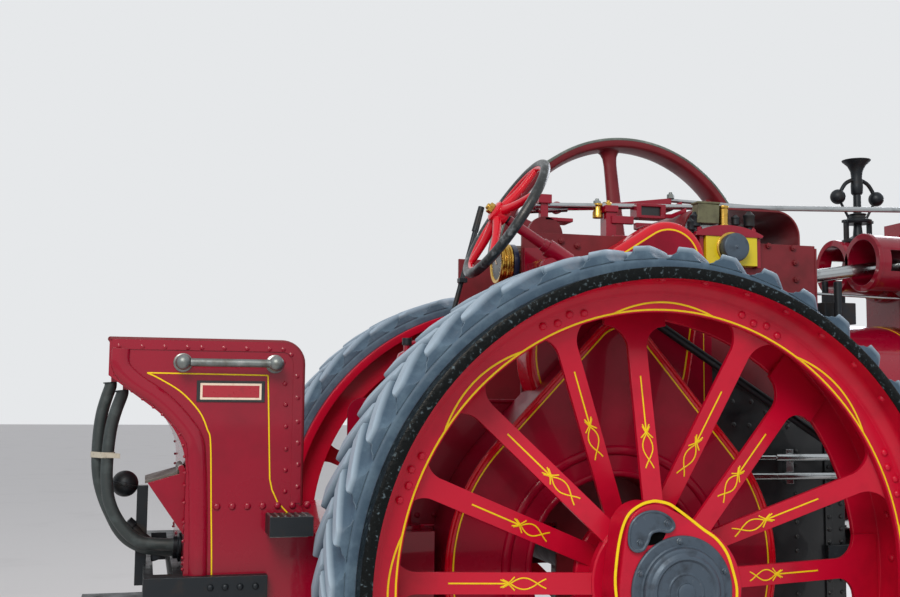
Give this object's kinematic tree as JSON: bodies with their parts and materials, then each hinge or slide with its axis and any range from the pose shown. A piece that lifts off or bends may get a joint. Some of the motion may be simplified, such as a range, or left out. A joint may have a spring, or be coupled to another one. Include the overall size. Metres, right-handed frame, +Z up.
{
  "type": "steam traction engine",
  "caption": "Road steam engine with a riveted tender, overhead crank motion, side flywheel, chain steering and big spoked rear wheels shod with lugged rubber.",
  "frame": {"origin": "on the ground, in the middle of the bounding box", "axes": "+X forward, +Y to the engine's left, +Z up"},
  "size_m": [5.605, 2.32, 3.3],
  "materials": {
    "crimson_paint": "gloss",
    "wheel_paint": "gloss",
    "brown_red_paint": "satin",
    "black_paint": "satin",
    "black_iron": "worn",
    "yellow_paint": "gloss",
    "brass": "polished",
    "bright_steel": "polished",
    "worn_plate": "worn",
    "steering_wheel_paint": "worn",
    "tyre_rubber": "worn",
    "hose_rubber": "worn"
  },
  "bodies": {
    "engine": {"tender": "crimson_paint", "steering_bracket": "crimson_paint", "filler_hopper": "crimson_paint", "brake_stand": "crimson_paint", "boiler_barrel": "crimson_paint", "cylinder_block": "crimson_paint", "trunk_guides": "crimson_paint", "drive_cover": "crimson_paint", "gear_case": "crimson_paint", "hornplates": "brown_red_paint", "motion_cover": "brown_red_paint", "firebox": "black_paint", "smokebox": "black_paint", "smokebox_front": "black_paint", "chimney_base": "black_paint", "chimney": "black_paint", "chimney_cap": "black_paint", "perch_bracket": "black_paint", "ash_pan": "black_iron", "drawbar_frame": "black_iron", "steps": "black_iron", "barrel_brackets": "black_iron", "steering_chains": "black_iron", "rear_axle": "black_iron", "governor": "black_iron", "crank_bearings": "yellow_paint", "pressure_gauge": "brass", "safety_valve": "brass", "connecting_rods": "bright_steel", "reach_rods": "bright_steel", "feed_pipes": "bright_steel", "grab_handles": "bright_steel", "suction_hose": "hose_rubber"},
    "rear_wheel_right": {"rear_wheel_right": "wheel_paint", "rear_tyre_right": "tyre_rubber", "hub_cap_right": "black_iron"},
    "rear_wheel_left": {"rear_wheel_left": "wheel_paint", "rear_tyre_left": "tyre_rubber", "hub_cap_left": "black_iron"},
    "front_axle": {"front_axle": "black_iron"},
    "front_wheel_right": {"front_wheel_right": "wheel_paint", "front_tyre_right": "tyre_rubber"},
    "front_wheel_left": {"front_wheel_left": "wheel_paint", "front_tyre_left": "tyre_rubber"},
    "chain_barrel": {"chain_barrel": "black_iron"},
    "steering_wheel": {"steering_wheel": "steering_wheel_paint", "steering_shaft": "bright_steel"},
    "crank": {"crankshaft": "bright_steel", "flywheel": "brown_red_paint"},
    "smokebox_door": {"smokebox_door": "black_paint"},
    "firehole_door": {"firehole_door": "black_iron"},
    "filler_lid": {"filler_lid": "worn_plate"}
  },
  "joints": [
    {"name": "rear_wheel_right_spin", "type": "hinge", "parent": "engine", "child": "rear_wheel_right", "pos_m": [-1.0175, -0.885, 1.067], "axis": [0, 1, 0], "continuous": true},
    {"name": "rear_wheel_left_spin", "type": "hinge", "parent": "engine", "child": "rear_wheel_left", "pos_m": [-1.0175, 0.885, 1.067], "axis": [0, 1, 0], "continuous": true},
    {"name": "steer", "type": "hinge", "parent": "engine", "child": "front_axle", "pos_m": [2.1325, 0, 0.67], "axis": [0, 0, 1], "range_deg": [-20, 20], "deforming": ["steering_chains"]},
    {"name": "front_wheel_right_spin", "type": "hinge", "parent": "front_axle", "child": "front_wheel_right", "pos_m": [2.1325, -0.85, 0.67], "axis": [0, 1, 0], "continuous": true},
    {"name": "front_wheel_left_spin", "type": "hinge", "parent": "front_axle", "child": "front_wheel_left", "pos_m": [2.1325, 0.85, 0.67], "axis": [0, 1, 0], "continuous": true},
    {"name": "barrel_turn", "type": "hinge", "parent": "engine", "child": "chain_barrel", "pos_m": [0.27604, 0, 1.0329], "axis": [0, 1, 0], "range_deg": [-130, 130]},
    {"name": "steering_wheel_turn", "type": "hinge", "parent": "engine", "child": "steering_wheel", "pos_m": [-1.4395, -0.6, 2.28204], "axis": [0.8517, 0, -0.524], "range_deg": [-1550, 1550]},
    {"name": "crank_spin", "type": "hinge", "parent": "engine", "child": "crank", "pos_m": [-0.4725, 0, 2.22], "axis": [0, 1, 0], "continuous": true},
    {"name": "smokebox_door_swing", "type": "hinge", "parent": "engine", "child": "smokebox_door", "pos_m": [2.4815, 0.365, 1.55], "axis": [0, 0, 1], "range_deg": [0, 140]},
    {"name": "firehole_door_swing", "type": "hinge", "parent": "engine", "child": "firehole_door", "pos_m": [-0.8865, 0.215, 1.48], "axis": [0, 0, -1], "range_deg": [0, 100]},
    {"name": "filler_lid_lift", "type": "hinge", "parent": "engine", "child": "filler_lid", "pos_m": [-2.4855, -0.43, 1.412], "axis": [0, 1, 0], "range_deg": [0, 65]}
  ],
  "couplings": [
    {"joint": "barrel_turn", "follows": "steer", "ratio": -6.4309},
    {"joint": "steering_wheel_turn", "follows": "steer", "ratio": -77.17}
  ]
}
